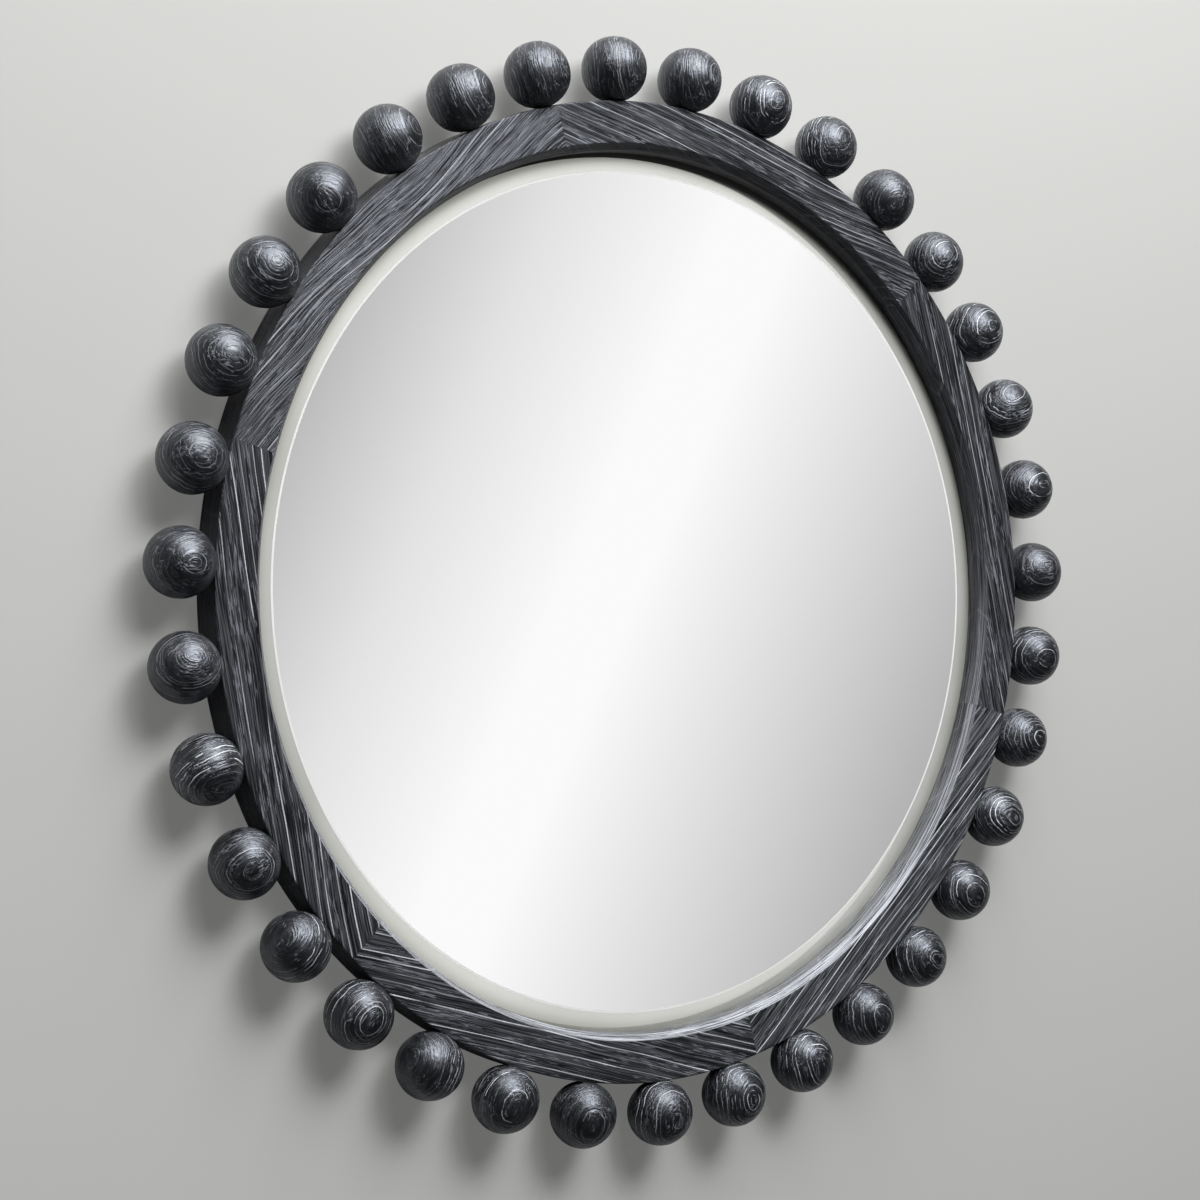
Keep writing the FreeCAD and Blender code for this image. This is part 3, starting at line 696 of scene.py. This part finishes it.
# Zinc-plated steel: cool grey with cloudy passivation; nickel wire: warmer and brighter, faintly drawn;
# rubber: soft dark grey with a pitted skin; beech: pale tan with fine flecks (inside the joints)
zinc = clouded("zincPlatedSteel", {"Metallic": 1.0}, ["#9aa0a4", "#b9bdbf", "#c9c7bb"], (0.26, 0.44), 5.0, 0.03)
nickel = clouded("nickelPlatedWire", {"Metallic": 1.0}, ["#b8b2a6", "#d8d3c8"], (0.16, 0.30), 2.0, 0.02)
rubber = clouded("blackRubber", {"Specular IOR Level": 0.3}, ["#171718", "#2a2a2b"], (0.7, 0.9), 0.8, 0.08)
beech = clouded("beech", {"Specular IOR Level": 0.3}, ["#b98a5c", "#d0a677"], (0.5, 0.65), 3.0, 0.05)
fittings = {"backing_board": hardboardMaterial(), "board_clips": zinc, "clip_screws": zinc,
            "hanger_strap_left": zinc, "hanger_strap_right": zinc, "hanger_screws": zinc,
            "hanger_ring_left": nickel, "hanger_ring_right": nickel, "wall_bumpers": rubber,
            "joint_tenons": beech, "ball_dowels": beech}
for name, material in fittings.items():
    for slot in bpy.data.objects[name].material_slots:
        slot.material = material
print("fittings finished")

# The stage: a pale wall behind the mirror. It shows from its front only, so that the back can be looked at, and
# gives the camera part of its own tone, so that the shadows on it stay grey.
stage = {"wallSize": 40.0, "wallY": 0.4, "wallTone": "#b2b2b0", "wallRoughness": 0.9, "ownTone": 0.3}
bpy.ops.mesh.primitive_plane_add(size=stage["wallSize"], location=(0, stage["wallY"] * mm, 0),
                                 rotation=(math.pi / 2, 0, 0))
wall = bpy.context.object
wall.name = "wall_backdrop"
# Plaster: matt, even and pale grey
plaster, tree, shader = newMaterial("palePlaster", {"Base Color": stage["wallTone"],
                                                    "Roughness": stage["wallRoughness"]})
side = addNode(tree, "ShaderNodeNewGeometry").outputs["Backfacing"]
rays = addNode(tree, "ShaderNodeLightPath").outputs
through = addNode(tree, "ShaderNodeMath", {"operation": "MAXIMUM"}, {0: side, 1: rays["Is Shadow Ray"]}).outputs[0]
own = addNode(tree, "ShaderNodeEmission", {"Color": stage["wallTone"]}).outputs[0]
share = addNode(tree, "ShaderNodeMath", {"operation": "MULTIPLY", 1: stage["ownTone"]},
                {0: rays["Is Camera Ray"]}).outputs[0]
pale = addNode(tree, "ShaderNodeMixShader", {}, {0: share, 1: shader.outputs[0], 2: own}).outputs[0]
clear = addNode(tree, "ShaderNodeBsdfTransparent").outputs[0]
shown = addNode(tree, "ShaderNodeMixShader", {}, {0: through, 1: pale, 2: clear}).outputs[0]
tree.links.new(shown, tree.nodes["Material Output"].inputs["Surface"])
wall.data.materials.append(plaster)

# The room: rays off the mirror see a pale room with a bright window band across it and a pale strip on either
# side, dim towards the floor and away from the bright side. All other rays get a low, even light.
room = {"air": "#f2f3f5", "ambient": 0.06, "sheen": 0.05, "seen": "#e4e4e2",
        "bandAcross": (2.134, 1.527, -1.232), "bandWidth": 1.8,
        "bandTones": [(0.0, "#8c8c8c"), (0.20, "#949494"), (0.25, "#bcbcbc"), (0.35, "#e6e6e6"), (0.455, "#ffffff"),
                      (0.50, "#ffffff"), (0.60, "#e0e0e0"), (0.75, "#a4a4a4"), (0.80, "#c4c4c4"),
                      (0.915, "#cccccc"), (0.96, "#fafafa")],
        "stripAcross": (-0.42, 0.0, 0.9), "stripMiddle": -0.242, "stripHalf": (0.19, 0.29), "stripTone": "#fafafa",
        "floorRise": (-0.6, -0.32), "floorDim": 0.3, "brightSide": (0.582, -0.813, 0.0), "sideRange": (0.2, 0.85),
        "sideDim": 0.55}
world = bpy.data.worlds.new("studioRoom")
bpy.context.scene.world = world
world.use_nodes = True
tree = world.node_tree
tree.nodes.clear()
rays = addNode(tree, "ShaderNodeLightPath").outputs
direction = addNode(tree, "ShaderNodeTexCoord").outputs["Generated"]
across = addNode(tree, "ShaderNodeVectorMath", {"operation": "DOT_PRODUCT", 1: room["bandAcross"]}, {0: direction})
across = addNode(tree, "ShaderNodeMath", {"operation": "ADD", 1: room["bandWidth"] / 2},
                 {0: across.outputs["Value"]})
across = addNode(tree, "ShaderNodeMath", {"operation": "PINGPONG", 1: room["bandWidth"]}, {0: across.outputs[0]})
across = addNode(tree, "ShaderNodeMapRange", {2: room["bandWidth"]}, {0: across.outputs[0]})
band = addNode(tree, "ShaderNodeValToRGB", {"ramp": room["bandTones"]}, {0: across.outputs[0]})
leaning = addNode(tree, "ShaderNodeVectorMath", {"operation": "DOT_PRODUCT", 1: room["stripAcross"]}, {0: direction})
leaning = addNode(tree, "ShaderNodeMath", {"operation": "SUBTRACT", 1: room["stripMiddle"]},
                  {0: leaning.outputs["Value"]})
leaning = addNode(tree, "ShaderNodeMath", {"operation": "ABSOLUTE"}, {0: leaning.outputs[0]}).outputs[0]
strip = addNode(tree, "ShaderNodeMapRange", {"interpolation_type": "SMOOTHSTEP", 1: room["stripHalf"][0],
                                             2: room["stripHalf"][1]}, {0: leaning}).outputs[0]
wide = addNode(tree, "ShaderNodeMix", {"data_type": "RGBA", 7: room["stripTone"]}, {0: strip, 6: band.outputs[0]})
rise = addNode(tree, "ShaderNodeSeparateXYZ", {}, {0: direction}).outputs["Z"]
floor = addNode(tree, "ShaderNodeMapRange", {"interpolation_type": "SMOOTHSTEP", 1: room["floorRise"][0],
                                             2: room["floorRise"][1], 3: room["floorDim"]}, {0: rise}).outputs[0]
toward = addNode(tree, "ShaderNodeVectorMath", {"operation": "DOT_PRODUCT", 1: room["brightSide"]}, {0: direction})
sideways = addNode(tree, "ShaderNodeMapRange", {"interpolation_type": "SMOOTHSTEP", 1: room["sideRange"][0],
                                                2: room["sideRange"][1], 3: room["sideDim"]},
                   {0: toward.outputs["Value"]}).outputs[0]
dim = addNode(tree, "ShaderNodeMath", {"operation": "MULTIPLY"}, {0: floor, 1: sideways}).outputs[0]
mirrored = addNode(tree, "ShaderNodeBackground", {}, {0: wide.outputs[2], "Strength": dim}).outputs[0]
soft = addNode(tree, "ShaderNodeBackground", {"Color": room["air"], "Strength": room["ambient"]}).outputs[0]
sheen = addNode(tree, "ShaderNodeBackground", {"Color": room["air"], "Strength": room["sheen"]}).outputs[0]
shown = addNode(tree, "ShaderNodeBackground", {"Color": room["seen"], "Strength": 1.0}).outputs[0]
mixed = soft
for ray, light in (("Is Glossy Ray", sheen), ("Is Singular Ray", mirrored), ("Is Camera Ray", shown)):
    mixed = addNode(tree, "ShaderNodeMixShader", {}, {0: rays[ray], 1: mixed, 2: light}).outputs[0]
addNode(tree, "ShaderNodeOutputWorld", {}, {0: mixed})

# The lamps: a wide key from above, a fill from the front and one for the back, all turned to the mirror's middle.
# Places and sizes are in metres, power is in watts.
lamps = [{"name": "keyLamp", "place": (0.15, -1.6, 2.4), "size": 2.6, "power": 168.0},
         {"name": "fillLamp", "place": (0.6, -3.4, 2.6), "size": 1.6, "power": 110.0},
         {"name": "backLamp", "place": (0.8, 2.6, 1.6), "size": 2.0, "power": 60.0}]
for lamp in lamps:
    bpy.ops.object.light_add(type="AREA", location=lamp["place"])
    light = bpy.context.object
    light.name = lamp["name"]
    light.data.size, light.data.energy = lamp["size"], lamp["power"]
    light.rotation_euler = (-Vector(lamp["place"])).to_track_quat("-Z", "Y").to_euler()
print("stage lit")

bpy.context.scene.view_settings.view_transform = "Standard"
